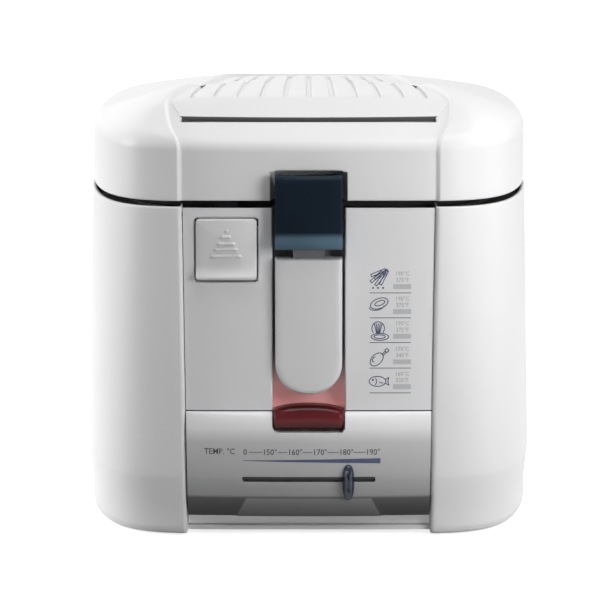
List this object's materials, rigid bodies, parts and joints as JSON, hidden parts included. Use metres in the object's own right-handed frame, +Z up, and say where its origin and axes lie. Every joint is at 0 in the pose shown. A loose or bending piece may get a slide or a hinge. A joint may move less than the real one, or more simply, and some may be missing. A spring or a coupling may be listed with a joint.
{
  "type": "deep fryer",
  "caption": "Compact deep fryer with a hinged filter lid, a fold-down basket handle that lifts the basket, a temperature slider and a lid release button.",
  "frame": {"origin": "on the supporting surface, under the middle of the overall box", "axes": "+X to the right seen from the front, -Y out of the front face, +Z up"},
  "size_m": [0.2682, 0.3266, 0.2513],
  "materials": {
    "white_plastic": "smooth moulded, semi-gloss",
    "pale_plastic": "satin, light silver grey",
    "silver_plastic": "satin silver paint",
    "navy_plastic": "smooth, semi-gloss",
    "dark_plastic": "fine moulded grain",
    "red_lens": "clear tinted, polished",
    "lamp_glass": "clear",
    "rubber": "matt",
    "steel": "bright, bare",
    "coated_metal": "dark non-stick coating",
    "charcoal": "matt black fibre pad"
  },
  "bodies": {
    "housing": {"side_shell_left": "white_plastic", "side_shell_right": "white_plastic", "front_panel": "pale_plastic", "rear_panel": "white_plastic", "cord_gland": "rubber", "control_panel": "silver_plastic", "lamp_lens": "red_lens", "neon_lamp": "lamp_glass", "thermostat": "dark_plastic", "top_collar": "pale_plastic", "base_plate": "dark_plastic", "foot_1": "rubber", "foot_2": "rubber", "foot_3": "rubber", "foot_4": "rubber", "base_screw_1": "steel", "base_screw_2": "steel", "base_screw_3": "steel", "base_screw_4": "steel", "bowl": "coated_metal", "heating_element": "coated_metal", "heater_clamp": "steel", "thermal_cutout": "dark_plastic", "terminal_block": "pale_plastic", "lift_bracket": "steel", "handle_pin": "steel", "hinge_bracket_left": "white_plastic", "hinge_bracket_right": "white_plastic", "hinge_pin_left": "steel", "hinge_pin_right": "steel", "hinge_screw_left_1": "steel", "hinge_screw_left_2": "steel", "hinge_screw_right_1": "steel", "hinge_screw_right_2": "steel"},
    "lid": {"lid_shell": "white_plastic", "lid_catch": "dark_plastic", "lid_liner": "steel", "lid_gasket": "rubber", "filter_tray": "dark_plastic", "charcoal_filter": "charcoal"},
    "cover": {"filter_cover": "white_plastic"},
    "handle": {"handle_grip": "silver_plastic"},
    "cursor": {"handle_cursor": "navy_plastic"},
    "lifted_basket": {"basket": "steel", "basket_hanger": "steel"},
    "button": {"release_button": "pale_plastic"},
    "latch": {"latch_bolt": "dark_plastic"},
    "slider": {"slider_knob": "navy_plastic"}
  },
  "joints": [
    {"name": "lid_hinge", "type": "hinge", "parent": "housing", "child": "lid", "pos_m": [0, 0.1592, 0.198], "axis": [-1, 0, 0], "range_deg": [0, 80]},
    {"name": "cover_hinge", "type": "hinge", "parent": "lid", "child": "cover", "pos_m": [0, 0.084, 0.2446], "axis": [-1, 0, 0], "range_deg": [0, 60]},
    {"name": "handle_fold", "type": "hinge", "parent": "housing", "child": "handle", "pos_m": [0, -0.147, 0.1995], "axis": [-1, 0, 0], "range_deg": [0, 90]},
    {"name": "cursor_slide", "type": "slide", "parent": "handle", "child": "cursor", "axis": [0, 0, -1], "range_m": [0, 0.004], "stiffness_N_per_m": 300, "springref_m": -0.002},
    {"name": "basket_lift", "type": "slide", "parent": "housing", "child": "lifted_basket", "axis": [0, 0, 1], "range_m": [0, 0.045]},
    {"name": "button_press", "type": "hinge", "parent": "housing", "child": "button", "pos_m": [0, -0.14391, 0.1817], "axis": [1, 0, 0], "range_deg": [0, 6], "stiffness_Nm_per_rad": 0.6, "springref_deg": -3.44},
    {"name": "latch_slide", "type": "slide", "parent": "housing", "child": "latch", "axis": [0, 1, 0], "range_m": [0, 0.0022]},
    {"name": "knob_slide", "type": "slide", "parent": "housing", "child": "slider", "axis": [1, 0, 0], "range_m": [-0.0592, 0.0136]}
  ],
  "couplings": [
    {"joint": "basket_lift", "follows": "handle_fold", "m_per_rad": 0.0286},
    {"joint": "latch_slide", "follows": "button_press", "m_per_rad": 0.0205}
  ]
}
